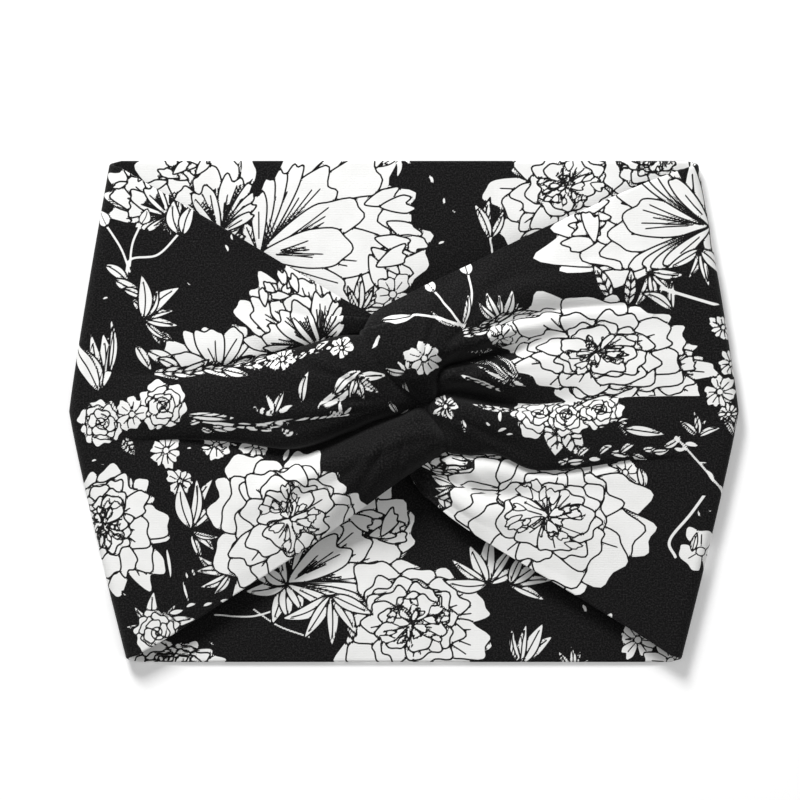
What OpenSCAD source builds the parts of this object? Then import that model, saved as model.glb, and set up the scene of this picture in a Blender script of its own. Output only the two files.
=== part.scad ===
// Knotted headband: a wide tube of printed jersey whose two ends hook through each other in front.
// It lies flat, back half below and knotted front half above. X runs across the head opening,
// Y runs from the lower edge to the upper edge of the band, and Z is up from the table.
// The cloth is one tube. It is cut here at six soft creases, so that the loop can open.

/* [Band] */
// Widest distance between the two side folds, lying flat
flat_w = 240; // [200:1:280]
// Height of the band, from its lower edge to its upper edge
band_h = 180; // [120:1:200]
// How far each side fold leans in at the upper edge
top_inset = 14.5; // [4:0.5:24]
// How far each side fold leans in at the lower edge
foot_inset = 20.5; // [4:0.5:28]

/* [Cloth] */
// Thickness of one ply of jersey
ply_t = 0.7; // [0.5:0.1:1.2]
// Room between the face ply and the lining ply
ply_gap = 0.2; // [0.1:0.05:0.5]
// Height of the head opening between the back half and the front half, lying flat
head_gap = 5; // [4.5:0.5:10]

/* [Front folds] */
// Height of the tallest fold where the front meets the knot
fold_h = 12; // [4:0.5:16]
// Width of cloth in the middle fold
roll_w = 62; // [40:1:80]
// Width of cloth in the arm that crosses over the knot
arm_w = 54; // [30:1:70]

/* [Knot] */
// Height of the gathered cloth where it enters the knot
gather_h = 80; // [64:1:100]
// Half the length of the knot along the band
knot_reach = 18; // [14:1:24]
// How far the knot sits above the middle of the band
knot_y = 4; // [0:1:10]
// Radius of the bundle of cloth at the tip of each hook of the knot
hook_r = 4.6; // [3.5:0.1:5.6]
// How many times wider the bundle is where it leaves the knot
hook_flare = 2.4; // [1:0.1:2.8]
// Room between the two bundles where they cross
hook_clear = 0.4; // [0.3:0.1:1]

/* [Creases] */
// Distance of the front and back creases from the middle
crease_x = 45; // [36:1:60]
// Bare strip that is left on each side of a crease
crease_gap = 0.6; // [0.5:0.1:2]
// Bare strip between each side fold and the front half
fold_clear = 4; // [3.8:0.1:6]

/* [Edge stitching] */
// Length of one stitch
stitch_l = 2.4; // [1.5:0.1:4]
// Distance from the start of one stitch to the next
stitch_pitch = 3.2; // [2.5:0.1:6]
// Width of the sewing thread
thread_w = 0.4; // [0.2:0.05:0.6]
// Distance of the stitching from the edge of the band
seam_inset = 6; // [3:0.5:10]

/* [Hidden] */
band_t = 2 * ply_t + ply_gap;           // both plies and the room between them
back_z = band_t / 2;                    // middle of the back half's cloth
front_z = band_t * 1.5 + head_gap;      // middle of the front half's cloth
fold_r = band_t + head_gap / 2;         // outer radius of a side fold
half_w = flat_w / 2;
half_h = band_h / 2;
fold_shape = 1.1;                       // 1 is a straight lean, more is rounder
thread_t = ply_gap / 4;                 // thickness of the thread where it bends round a side fold
roll_t = 8;                             // where the middle fold's crest lies across the cloth
arm_t = arm_w / 2 + seam_inset + 5 - half_h; // where the crossing arm's crest lies, clear of the stitching
roll_share = 1;                         // heights of the two folds, as shares of fold_h
arm_share = 0.8;
grid_t = 36;                            // steps across the cloth
side_steps = 16;                        // steps along a side fold
bend_steps = 16;                        // steps round a side fold
hook_steps = 14;                        // steps along a hook of the knot
hook_sides = 16;                        // corners of the bundle's section
hook_room = 5;                          // spare room between the legs of a hook
hook_tip = knot_reach - hook_r - 1;     // how far a hook's tip passes the middle, short of the other gather
leg_dz = 2 * hook_r + hook_clear;       // depth between the two legs of a hook
leg_dy = sqrt(3) * leg_dz + hook_room;  // height between them, which lets the other hook's tip through
hook_mid_z = front_z - band_t / 2 + hook_clear + hook_r + leg_dz / 2;
seam_bite = 0.3;                        // how deep the twist's seam is sewn into each hook
seam_y = 1.6 * hook_r;                  // height and depth of the twist's seam
seam_z = 1.2 * hook_r;

// Distance of a side fold's outermost line from the middle, at height y on the band.
function fold_x(y) =
    half_w - (y > 0 ? top_inset : foot_inset) * pow(abs(y) / half_h, fold_shape);

// Distance of the side fold's bending centre from the middle, where the flat cloth starts.
function bend_x(y) = fold_x(y) - fold_r;

// A raised cosine of width w about c, 1 at its crest.
function crest(t, c, w) = abs(t - c) < w / 2 ? (1 + cos(360 * (t - c) / w)) / 2 : 0;

// How far the cloth that starts at height t on the side fold has come towards the knot, from 0 to 1.
function nearness(x, t) = (bend_x(t) - abs(x)) / (bend_x(t) - knot_reach);

// Middle of the front cloth at distance x. t is its height on the side fold, and side is -1 for left.
// Turning the left half by half a turn gives the right half's folds.
function front_point(side, x, t) =
    let (k = nearness(x, t), q = -side * t,
         y = t * (1 - k) + k * (knot_y + t * gather_h / band_h),
         rise = k * fold_h * (roll_share * crest(q, roll_t, roll_w) + arm_share * crest(q, arm_t, arm_w)))
    [side * x, y, front_z + rise];

// Heights across the cloth, from the upper edge to the lower edge.
heights = [for (i = [0:grid_t]) half_h - band_h * i / grid_t];

// A grid of points moved up by dz.
function raised(grid, dz) = [for (row = grid) [for (p = row) [p.x, p.y, p.z + dz]]];

// A closed solid between two grids of points that have the same rows and columns.
module slab(above, below) {
    rows = len(above);
    cols = len(above[0]);
    n = rows * cols;
    function at(layer, r, c) = layer * n + r * cols + c;
    points = [for (g = [above, below]) for (row = g) for (p = row) p];
    skins = [for (r = [0:rows - 2]) for (c = [0:cols - 2]) each [
        [at(0, r, c), at(0, r, c + 1), at(0, r + 1, c)],
        [at(0, r, c + 1), at(0, r + 1, c + 1), at(0, r + 1, c)],
        [at(1, r, c), at(1, r + 1, c), at(1, r, c + 1)],
        [at(1, r, c + 1), at(1, r + 1, c), at(1, r + 1, c + 1)]]];
    ends = [for (c = [0:cols - 2]) each [
        [at(0, 0, c + 1), at(0, 0, c), at(1, 0, c), at(1, 0, c + 1)],
        [at(0, rows - 1, c), at(0, rows - 1, c + 1), at(1, rows - 1, c + 1), at(1, rows - 1, c)]]];
    edges = [for (r = [0:rows - 2]) each [
        [at(0, r, 0), at(0, r + 1, 0), at(1, r + 1, 0), at(1, r, 0)],
        [at(0, r + 1, cols - 1), at(0, r, cols - 1), at(1, r, cols - 1), at(1, r + 1, cols - 1)]]];
    polyhedron(points, concat(skins, ends, edges));
}

// One ply of the front cloth from distance x_out to x_in, where x_out may follow the side fold.
// layer is 1 for the face ply, which lies on top, and -1 for the lining.
module front_ply(side, x_out, x_in, layer) {
    steps = 6;
    grid = [for (i = [0:steps]) [for (t = heights)
        let (out = is_undef(x_out) ? bend_x(t) - fold_clear : x_out)
        front_point(side, out + (x_in - out) * i / steps, t)]];
    low = layer > 0 ? ply_gap / 2 : -ply_gap / 2 - ply_t;
    if (side > 0) slab(raised(grid, low), raised(grid, low + ply_t));
    else slab(raised(grid, low + ply_t), raised(grid, low));
}

// A row of stitches between two points, in the room between the plies.
module stitch_row(from, to) {
    run = to - from;
    count = floor((norm(run) - stitch_l) / stitch_pitch) + 1;
    start = (norm(run) - (count - 1) * stitch_pitch - stitch_l) / 2;
    translate(from)
        rotate([0, -asin(run.z / norm(run)), atan2(run.y, run.x)])
            for (i = [0:count - 1])
                translate([start + i * stitch_pitch, -thread_w / 2, -ply_gap / 2])
                    cube([stitch_l, thread_w, ply_gap]);
}

// Both edges' stitches on the front cloth, between two distances from the middle.
module front_stitching(side, x_out, x_in) {
    color("dimgray")
        for (edge = [-1, 1]) {
            t = edge * (half_h - seam_inset);
            out = is_undef(x_out) ? bend_x(edge * half_h) - fold_clear - 1 : x_out;
            stitch_row(front_point(side, out, t), front_point(side, x_in, t));
        }
}

// The back cloth between the crease and a side fold, seen from above.
module back_wing_outline(side) {
    inner = crease_x + crease_gap;
    curve = [for (i = [0:side_steps]) let (y = half_h - band_h * i / side_steps) [side * bend_x(y), y]];
    polygon(concat([[side * inner, half_h]], curve, [[side * inner, -half_h]]));
}

// One ply of the back cloth beside a crease; z is its underside.
module back_wing_ply(side, z) {
    translate([0, 0, z]) linear_extrude(ply_t) back_wing_outline(side);
}

// One ply of the back cloth between the creases; z is its underside.
module back_ply(z) {
    translate([-crease_x + crease_gap, -half_h, z])
        cube([2 * (crease_x - crease_gap), band_h, ply_t]);
}

// Both edges' stitches on the back cloth, between two distances from the middle.
module back_rows(x_from, x_to) {
    color("dimgray")
        for (edge = [-1, 1])
            stitch_row([x_from, edge * (half_h - seam_inset), back_z],
                       [x_to, edge * (half_h - seam_inset), back_z]);
}

// One ply of a side fold: half a tube that leans with the fold, between two radii.
module fold_ply(side, r_out) {
    function ring(r) = [for (i = [0:side_steps]) let (y = half_h - band_h * i / side_steps)
        [for (j = [0:bend_steps]) let (a = -90 + 180 * j / bend_steps)
            [side * (bend_x(y) + r * cos(a)), y, fold_r + r * sin(a)]]];
    if (side > 0) slab(ring(r_out - ply_t), ring(r_out));
    else slab(ring(r_out), ring(r_out - ply_t));
}

// How far along its leg a point of a hook lies, from 0 at the tip's curve to 1 at the gathered cloth.
function leg_run(u) = max(abs(u - 0.5) - 0.2, 0) / 0.3;

// Middle line of a knot hook. It runs in front and across, turns down at its tip and runs back behind.
// u goes from 0 to 1; the hook of the left half is the right one's turned half a turn.
function hook_point(u) =
    let (a = 180 * min(max((u - 0.3) / 0.4, 0), 1), bow = hook_tip * 0.55)
    [bow - hook_tip - bow * sin(a) + leg_run(u) * (hook_tip - bow + knot_reach - hook_clear),
     leg_dy / 2 * cos(a), hook_mid_z + leg_dz / 2 * cos(a)];

// A point of the bundle's skin, moved outwards in height as the bundle flares along its leg.
function flared(p, u) =
    let (side = u < 0.5 ? 1 : -1, inner = side * (leg_dy / 2 - hook_r))
    [p.x, inner + (p.y - inner) * (1 + leg_run(u) * (hook_flare - 1)), p.z];

// The gathered bundle of cloth that hooks through the other half's bundle.
module knot_hook() {
    plane = [0, leg_dy, leg_dz];
    line = [for (i = [0:hook_steps]) hook_point(i / hook_steps)];
    rings = [for (i = [0:hook_steps])
        let (ahead = line[min(i + 1, hook_steps)] - line[max(i - 1, 0)],
             out = cross([1, 0, 0], plane),
             f = out / norm(out),
             side = cross(f, ahead),
             e = side / norm(side))
        [for (j = [0:hook_sides - 1]) let (a = 360 * j / hook_sides)
            flared(line[i] + hook_r * (cos(a) * e + sin(a) * f), i / hook_steps)]];
    n = hook_sides;
    skins = [for (i = [0:hook_steps - 1]) for (j = [0:n - 1]) let (k = (j + 1) % n) each [
        [i * n + j, i * n + k, (i + 1) * n + j],
        [i * n + k, (i + 1) * n + k, (i + 1) * n + j]]];
    caps = [[for (j = [n - 1:-1:0]) j], [for (j = [0:n - 1]) hook_steps * n + j]];
    polyhedron([for (r = rings) each r], concat(skins, caps));
}

// Both edges' thread round a side fold, in the room between the plies.
module fold_stitching(side) {
    color("dimgray")
        for (edge = [-1, 1])
            translate([side * bend_x(edge * (half_h - seam_inset)), edge * (half_h - seam_inset), fold_r])
                rotate([90, side * 90 - 90, 0])
                    rotate_extrude(angle = side * 180, start = side * -90)
                        translate([fold_r - ply_t - ply_gap / 2 - thread_t / 2, -thread_w / 2])
                            square([thread_t, thread_w]);
}

module back_face() { color("#1b1b1b") back_ply(0); }
module back_lining() { color("#e9e7e2") back_ply(ply_t + ply_gap); }
module back_stitching() { back_rows(-crease_x + crease_gap + 1, crease_x - crease_gap - 1); }

module wing_face(side) { color("#1b1b1b") back_wing_ply(side, 0); }
module wing_lining(side) { color("#e9e7e2") back_wing_ply(side, ply_t + ply_gap); }
module wing_stitching(side) {
    near = crease_x + crease_gap + 1;
    far = bend_x(-half_h) - 1;
    back_rows(side > 0 ? near : -far, side > 0 ? far : -near);
}
module fold_face(side) { color("#1b1b1b") fold_ply(side, fold_r); }
module fold_lining(side) { color("#e9e7e2") fold_ply(side, fold_r - ply_t - ply_gap); }

module front_face(side) { color("#1b1b1b") front_ply(side, undef, crease_x + crease_gap, 1); }
module front_lining(side) { color("#e9e7e2") front_ply(side, undef, crease_x + crease_gap, -1); }
module gather_face(side) { color("#1b1b1b") front_ply(side, crease_x - crease_gap, knot_reach, 1); }
module gather_lining(side) { color("#e9e7e2") front_ply(side, crease_x - crease_gap, knot_reach, -1); }

module left_knot_hook() {
    color("#2a2a2a") translate([0, knot_y, 0]) rotate([0, 0, 180]) knot_hook();
}
module right_knot_hook() { color("#e9e7e2") translate([0, knot_y, 0]) knot_hook(); }

// The twist's seam allowances, sewn into both bundles and hidden between the hooks.
module knot_seam() {
    reach = hook_tip - hook_r + seam_bite;
    color("dimgray")
        translate([-reach, knot_y - seam_y / 2, hook_mid_z - seam_z / 2])
            cube([2 * reach, seam_y, seam_z]);
}

back_face();
back_lining();
back_stitching();
wing_face(-1);  // left_back_face
wing_lining(-1);  // left_back_lining
wing_stitching(-1);  // left_back_stitching
fold_face(-1);  // left_fold_face
fold_lining(-1);  // left_fold_lining
fold_stitching(-1);  // left_fold_stitching
wing_face(1);  // right_back_face
wing_lining(1);  // right_back_lining
wing_stitching(1);  // right_back_stitching
fold_face(1);  // right_fold_face
fold_lining(1);  // right_fold_lining
fold_stitching(1);  // right_fold_stitching
front_face(-1);  // left_front_face
front_lining(-1);  // left_front_lining
front_stitching(-1, undef, crease_x + crease_gap + 1);  // left_front_stitching
front_face(1);  // right_front_face
front_lining(1);  // right_front_lining
front_stitching(1, undef, crease_x + crease_gap + 1);  // right_front_stitching
gather_face(-1);  // left_gather_face
gather_lining(-1);  // left_gather_lining
front_stitching(-1, crease_x - crease_gap - 1, knot_reach + 1);  // left_gather_stitching
gather_face(1);  // right_gather_face
gather_lining(1);  // right_gather_lining
front_stitching(1, crease_x - crease_gap - 1, knot_reach + 1);  // right_gather_stitching
left_knot_hook();
right_knot_hook();
knot_seam();
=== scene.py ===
"""The looks of the knotted headband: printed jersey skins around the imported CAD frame.

Lengths inside the functions are millimetres in the frame's own axes; build() turns them into metres.
The cloth is a flat tube, so every piece is one closed skin: a mid surface with half the cloth's
thickness laid on either side, and the two sides meeting in a round edge at the sewn seams.
"""

import bpy
import numpy as np
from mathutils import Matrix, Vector


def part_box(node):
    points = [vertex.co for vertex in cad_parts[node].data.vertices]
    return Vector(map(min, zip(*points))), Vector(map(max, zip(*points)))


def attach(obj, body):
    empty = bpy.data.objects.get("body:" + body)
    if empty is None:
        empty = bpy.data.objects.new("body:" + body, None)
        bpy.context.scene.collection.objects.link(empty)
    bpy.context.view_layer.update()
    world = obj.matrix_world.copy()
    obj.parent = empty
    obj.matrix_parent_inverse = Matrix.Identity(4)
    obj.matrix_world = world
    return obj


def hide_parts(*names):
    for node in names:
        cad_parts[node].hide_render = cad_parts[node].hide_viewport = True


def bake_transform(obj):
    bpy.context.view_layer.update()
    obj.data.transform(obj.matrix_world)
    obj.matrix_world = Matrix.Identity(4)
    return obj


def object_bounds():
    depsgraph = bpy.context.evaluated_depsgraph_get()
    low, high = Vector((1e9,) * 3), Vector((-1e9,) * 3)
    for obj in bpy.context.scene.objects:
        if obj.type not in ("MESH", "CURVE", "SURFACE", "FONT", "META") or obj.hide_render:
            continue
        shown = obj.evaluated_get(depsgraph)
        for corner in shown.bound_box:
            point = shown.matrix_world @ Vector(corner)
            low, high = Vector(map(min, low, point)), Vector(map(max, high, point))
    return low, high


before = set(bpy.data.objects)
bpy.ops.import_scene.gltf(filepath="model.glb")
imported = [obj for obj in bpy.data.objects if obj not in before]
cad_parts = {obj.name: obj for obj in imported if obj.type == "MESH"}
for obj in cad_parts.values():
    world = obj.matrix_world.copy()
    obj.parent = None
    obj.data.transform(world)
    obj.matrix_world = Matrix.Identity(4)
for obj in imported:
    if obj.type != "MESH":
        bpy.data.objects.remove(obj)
cad_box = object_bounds()

MM = 0.001

# ---------------------------------------------------------------- camera
SEEN_W = 0.2857          # width of the view
EYE_Z = 1.6              # height of the eye above the table
AIM = (-0.0014, 0.0041)  # point of the table in the middle of the view
SEEN_Z = 0.01            # height at which that width is measured
SENSOR = 36.0            # width of the camera's sensor, in its own millimetres


def make_camera():
    """Looks straight down, with the band's upper edge at the top of the view."""
    data = bpy.data.cameras.new("camera")
    data.sensor_width = SENSOR
    data.lens = SENSOR * (EYE_Z - SEEN_Z) / SEEN_W
    camera = bpy.data.objects.new("camera", data)
    camera.location = (AIM[0], AIM[1], EYE_Z)
    bpy.context.scene.collection.objects.link(camera)
    bpy.context.scene.camera = camera


make_camera()

# ---------------------------------------------------------------- sizes, from the frame
HALF_W = cad_box[1][0] / MM                       # half the width of the band
HALF_H = cad_box[1][1] / MM                       # half its height
CLOTH_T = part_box("back_lining")[1][2] / MM        # both plies together
FOLD_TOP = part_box("left_fold_face")[1][2] / MM    # top of a side fold
HALF_T = CLOTH_T / 2
BACK_Z = HALF_T                                   # middle of the back half's cloth
FRONT_Z = FOLD_TOP - HALF_T                       # middle of the front half's cloth, where it is flat
FOLD_Z = FOLD_TOP / 2                             # centre of a side fold
FOLD_R = FOLD_Z - HALF_T                          # radius of its middle line
TOP_INSET, FOOT_INSET, FOLD_SHAPE = 14.5, 20.5, 1.1  # how a side fold leans, as in the CAD
CREASE_GAP = 0.6                                  # how far the CAD's plies stop short of a crease
BEND_X = CREASE_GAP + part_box("back_face")[1][0] / MM  # where the back half's creases are
JOIN_X = 85.0                                     # where the side pieces join the others
SIDE_RUN = 22                                     # about how far a side piece lies flat before its fold
SKEW = 0.97                                       # share of its height that cloth keeps round a fold


def fold_line(y):
    """Distance of a side fold's bending centre from the middle, at height y."""
    inset = np.where(y > 0, TOP_INSET, FOOT_INSET)
    return HALF_W - inset * np.abs(y / HALF_H) ** FOLD_SHAPE - FOLD_Z


# ---------------------------------------------------------------- curves and surfaces
def curve_through(knots, values, t, first=1.0):
    """Smooth curve through values at knots: a cubic on each span, whose end slopes are the mean of
    the two neighbouring chords, weighted so that a straight run of values stays straight. first is
    the share of the first chord's slope with which the curve sets off."""
    knots, values = np.asarray(knots, float), np.asarray(values, float)
    step = np.diff(knots)
    chord = np.diff(values, axis=0) / step.reshape(-1, *[1] * (values.ndim - 1))
    slope = np.empty_like(values)
    slope[0], slope[-1] = chord[0] * first, chord[-1]
    w = (step[:-1] / (step[:-1] + step[1:])).reshape(-1, *[1] * (values.ndim - 1))
    slope[1:-1] = (1 - w) * chord[:-1] + w * chord[1:]
    i = np.clip(np.searchsorted(knots, t, side="right") - 1, 0, len(step) - 1)
    h = step[i].reshape(-1, *[1] * (values.ndim - 1))
    s = ((t - knots[i]) / step[i]).reshape(h.shape)
    return ((1 + 2 * s) * (1 - s) ** 2 * values[i] + s * (1 - s) ** 2 * h * slope[i]
            + s * s * (3 - 2 * s) * values[i + 1] + s * s * (s - 1) * h * slope[i + 1])


def smooth(low, high, x):
    """0 below low, 1 above high, and 3t2 - 2t3 between."""
    t = np.clip((x - low) / (high - low), 0, 1)
    return t * t * (3 - 2 * t)


RIM = np.array([0, 0.12, 0.4, 0.8])  # rows of points in the round of an edge, as distances from it
RIM_Q = 0.0085                       # share of the cloth's height that they stand in


def height_grid(steps):
    """Shares q across the cloth from the upper edge, 0, to the lower edge, 1, with rows close to each
    edge for its round. The number of rows is odd."""
    rim = RIM / (2 * HALF_H)
    inner = np.linspace(RIM_Q, 1 - RIM_Q, steps - 2 * len(RIM) + 1)
    return np.concatenate([rim, inner, 1 - rim[::-1]])


Q = height_grid(376)
FLAT_Y = HALF_H * (1 - 2 * Q)      # heights on the flat cloth
EDGE = np.minimum(Q, 1 - Q) * 2 * HALF_H
# Half the thickness across the cloth: a half round of radius HALF_T at both edges.
HALF_PROFILE = HALF_T * np.sqrt(np.clip(1 - (1 - np.clip(EDGE / HALF_T, 0, 1)) ** 2, 0, 1))

# The front halves are lofted. Each rail below is one line of the cloth, from the side fold to the knot:
# its height where it leaves the fold, then one (y, z) at each of the shared distances from the middle,
# then one (x, y, z) at each place in the knot. Rails run from the upper edge to the lower edge.
LEFT_X = (-85, -60, -38, -20)
LEFT_RAILS = (
    # upper edge of the band
    (90, (77.6, 7.8), (63.0, 8.6), (49.8, 9.4), (39.3, 10.0),
     (-9, 33.5, 10.2), (0, 29, 10), (5, 26, 10), (8, 25, 10)),
    # middle of the upper panel
    (50, (45, 8.1), (40, 9.4), (35.5, 10.2), (33.5, 10.4),
     (-9, 30.5, 10.2), (0, 27, 9.8), (5, 24.5, 9.6), (8, 23.5, 9.6)),
    (20, (17.5, 8.0), (19.5, 8.8), (23.8, 9.8), (28.5, 10.4),
     (-9, 28.5, 10), (0, 25.5, 9.6), (5, 23.5, 9.3), (8, 22.5, 9.3)),
    # crease between the panel and the middle fold
    (15, (13.0, 7.5), (15.4, 7.6), (19.6, 8.0), (24.2, 9.0),
     (-9, 25, 8.6), (0, 23, 8.6), (5, 21, 8.6), (8, 20, 8.6)),
    # the middle fold's upper side
    (11.5, (11.8, 8.8), (16.3, 11.0), (22.0, 14.0), (26.4, 16.5),
     (-9, 25.5, 15), (0, 21.5, 11.5), (5, 19, 10), (8, 18, 9.8)),
    (7, (8.0, 10.3), (12.5, 14.2), (17.5, 18.6), (21.5, 21.2),
     (-9, 20.5, 19.5), (0, 17.5, 14), (5, 15.5, 11), (8, 15, 10.4)),
    # its crest
    (1, (1.5, 11.2), (4.0, 15.4), (7.5, 19.8), (13.0, 22.3),
     (-9, 13.5, 20.5), (0, 11.5, 15), (5, 10.5, 12), (8, 10, 11)),
    # its lower side
    (-5, (-5.0, 10.4), (-4.8, 13.8), (-5.0, 17.4), (1.5, 19.8),
     (-9, 5, 19), (0, 5.5, 15.5), (5, 6.2, 12), (8, 7, 10.6)),
    (-10, (-8.6, 8.8), (-9.6, 10.8), (-11.6, 13.0), (-4.6, 15.6),
     (-9, -0.2, 15.8), (0, 1.8, 13.6), (5, 3.8, 11.2), (8, 5.2, 10.2)),
    # valley between the middle fold and the crossing arm
    (-13.5, (-9.8, 7.4), (-10.6, 7.4), (-12.8, 7.8), (-7.0, 8.8),
     (-9, -2.6, 9.6), (0, -0.6, 9.8), (5, 1.6, 9.6), (8, 3.4, 9.4)),
    # the arm's upper side and crest
    (-18, (-14.0, 7.9), (-15.4, 8.6), (-17.4, 10.4), (-11.6, 14.4),
     (-9, -7.0, 16.5), (0, -3.2, 17.0), (5.2, -0.8, 15.4), (9.6, 0.4, 9.8)),
    (-26, (-22.0, 8.3), (-23.5, 9.8), (-21.6, 13.4), (-14.6, 18.4),
     (-8, -10, 20.8), (1, -6.2, 20.6), (8, -4.6, 17.4), (13.4, -4.6, 9.6)),
    (-50, (-45.0, 8.2), (-40.0, 9.4), (-32.4, 12.2), (-22.6, 17.6),
     (-8, -16.5, 21.2), (3, -11.6, 20.8), (12, -10.2, 17.0), (18.0, -10.8, 9.4)),
    (-78, (-72.0, 7.8), (-57.5, 8.3), (-44.6, 9.8), (-32.2, 14.0),
     (-8, -24.8, 17), (3, -18.4, 17.8), (10, -15.2, 14.8), (14.6, -14.2, 9.3)),
    # lower edge of the band
    (-90, (-81.3, 7.4), (-65.3, 7.6), (-51.0, 8.2), (-38.2, 10.0),
     (-8, -29.0, 12.5), (3, -21.0, 14), (9, -17.2, 12.8), (11.6, -16.2, 9.3)),
)
RIGHT_X = (85, 60, 45, 33, 22)
RIGHT_RAILS = (
    # upper edge of the band
    (90, (81.2, 7.8), (70.2, 8.8), (63.3, 9.8), (57.2, 11.0), (51.5, 12.4),
     (15, 48.2, 13.2), (11.5, 46.5, 13.6), (6, 43.8, 14), (-1, 40.2, 14), (-7, 37, 13.2),
     (-11, 34.2, 12), (-12, 33, 9.5)),
    # middle of the upper arm
    (62, (60.0, 8.4), (54.0, 10.5), (50.0, 12.6), (46.0, 15.5), (41.5, 18.2),
     (15, 38.8, 19.6), (11, 37.4, 20.2), (5.5, 35.4, 20.9), (-1.5, 33, 20.8), (-8, 31, 19.2),
     (-12.8, 29.6, 15.5), (-13.8, 29, 10.5)),
    # the arm's lower ridge
    (42, (41.0, 8.8), (40.0, 11.2), (38.3, 14.0), (34.5, 17.0), (31.0, 20.4),
     (15, 29, 22), (11, 28, 22.8), (5, 27, 23.4), (-2, 25.6, 23), (-8.5, 24.6, 21),
     (-13.2, 24, 16.5), (-14.2, 23.8, 10.8)),
    # crease under that ridge
    (38.5, (38.2, 8.2), (37.0, 9.4), (34.6, 11.6), (30.6, 15.6), (27.6, 19.8),
     (15, 25.6, 22), (11, 24.4, 23), (5, 22.8, 23.8), (-1.5, 21.4, 23.2), (-7.5, 20.6, 21),
     (-12, 20, 16.8), (-13, 19.8, 10.8)),
    # small pleat
    (35, (35.5, 8.7), (33.8, 10.6), (31.0, 13.6), (27.5, 18.0), (23.8, 21.0),
     (15, 21.8, 21.8), (11, 20.8, 22.2), (5.5, 18.6, 23.4), (-0.5, 17.6, 22.8), (-6, 16.8, 20.4),
     (-10, 16.2, 16.2), (-11, 16, 10.5)),
    # deep valley under the small pleat
    (29, (29.0, 8.4), (28.0, 9.8), (25.8, 10.4), (22.8, 9.6), (18.8, 9.8),
     (15, 17, 10.4), (11.6, 16.4, 17.5), (7, 14.4, 21.6), (1, 13.4, 21.4), (-4, 12.9, 18.8),
     (-7.4, 12.7, 14.6), (-8, 12.7, 10)),
    # middle fold
    (16, (15.0, 8.9), (15.0, 10.4), (15.2, 13.6), (15.0, 16.8), (14.4, 18.8),
     (15, 13.4, 17.6), (11.8, 12.2, 13.5), (8.4, 11, 18.8), (3.6, 9.8, 18.6), (0, 9.6, 16.4),
     (-3.4, 9.8, 13), (-4, 9.8, 9.5)),
    (10, (9.5, 8.8), (8.6, 10.2), (8.0, 12.8), (9.2, 15.8), (11.2, 17.6),
     (15, 11, 16.4), (11.8, 9.4, 11.8), (9.4, 7.6, 15.6), (6, 6.8, 15.6), (3, 7, 13.8),
     (0, 7.4, 11.4), (-0.5, 7.5, 9.2)),
    # crease under the middle fold
    (5.5, (5.2, 8.5), (3.4, 8.9), (3.0, 9.0), (4.8, 8.6), (7.0, 8.4),
     (15, 7.4, 8.6), (11.8, 6, 9.6), (9.8, 4, 12.2), (8, 3.6, 12.4), (6, 4.2, 11.2),
     (4, 5, 10), (3.5, 5, 9)),
    # right-hand fold: crest, lower side and lower lip
    (-2, (-2.0, 9.8), (-4.0, 12.4), (-3.2, 14.8), (-1.6, 17.0), (1.0, 18.4),
     (15, 1.8, 18.2), (11.4, 1.2, 16.4), (9.4, 0.8, 13.6), (7.4, 0.6, 11.6), (5, 1.2, 10.4),
     (3, 2.5, 9.8), (2.5, 2.5, 9)),
    (-10, (-9.6, 9.6), (-12.0, 12.0), (-11.6, 14.2), (-8.8, 16.0), (-8.2, 16.6),
     (17, -7.4, 16.4), (13.8, -6.6, 13.8), (10, -5.5, 11), (5, -4.5, 9.8), (2, -3, 9.4),
     (0, -1, 9.2), (0, -1, 9)),
    (-16, (-15.9, 8.9), (-19.3, 10.2), (-19.4, 11.4), (-14.0, 12.8), (-14.2, 12.8),
     (15, -12.8, 12.2), (11, -12, 11), (7, -11, 10), (4, -9, 9.6), (1, -7, 9.2),
     (-1, -4, 9), (-1, -4, 8.9)),
    # valley under the lip
    (-19, (-16.6, 7.8), (-19.9, 8.2), (-20.0, 8.6), (-14.9, 9.6), (-15.2, 10.0),
     (15, -14, 9.8), (11, -13, 9.6), (7, -12, 9.4), (4, -10, 9.2), (1, -8, 9),
     (-1, -5, 8.9), (-1, -5, 8.8)),
    # narrow squashed pleat and the crease under it
    (-24, (-22.0, 8.1), (-24.0, 8.9), (-24.0, 9.8), (-20.6, 12.4), (-19.4, 12.6),
     (15, -18, 12.2), (11, -16.8, 11.4), (7, -16.4, 10.4), (4, -13, 9.6), (1, -10, 9.2),
     (-1, -7, 8.9), (-1, -7, 8.8)),
    (-31, (-28.0, 8.0), (-29.5, 8.6), (-29.6, 8.8), (-29.2, 8.8), (-27.0, 9.0),
     (15, -23.6, 9.0), (11, -21.4, 9.0), (7, -19.6, 8.9), (4, -16, 8.9), (1, -12, 8.8),
     (-1, -9, 8.8), (-1, -9, 8.7)),
    # lower panel
    (-40, (-38.0, 8.2), (-38.0, 9.0), (-35.8, 9.6), (-33.6, 10.2), (-31.0, 10.6),
     (15, -27, 10.4), (11, -24.8, 10), (7, -23, 9.6), (4, -19, 9.2), (1, -15, 8.9),
     (-1, -12, 8.8), (-1, -12, 8.7)),
    (-68, (-62.0, 7.9), (-54.5, 8.4), (-48.5, 8.8), (-43.2, 9.2), (-37.4, 9.4),
     (15, -32.4, 9.2), (11, -29.4, 9), (7, -26.5, 8.9), (4, -22.5, 8.8), (1, -18, 8.7),
     (-1, -15, 8.7), (-1, -15, 8.6)),
    # lower edge of the band
    (-90, (-80.4, 7.4), (-65.0, 7.6), (-56.0, 7.9), (-48.8, 8.1), (-41.6, 8.3),
     (15, -36.4, 8.3), (11, -33.2, 8.3), (7, -29.6, 8.3), (4, -26, 8.3), (1, -21, 8.2),
     (-1, -18, 8.2), (-1, -18, 8.2)),
)
LEFT_ZONES = (0, 3, 9, 14)         # rails that bound the zones of the left half's print
RIGHT_ZONES = (0, 3, 5, 8, 12, 14, 17)


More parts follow.
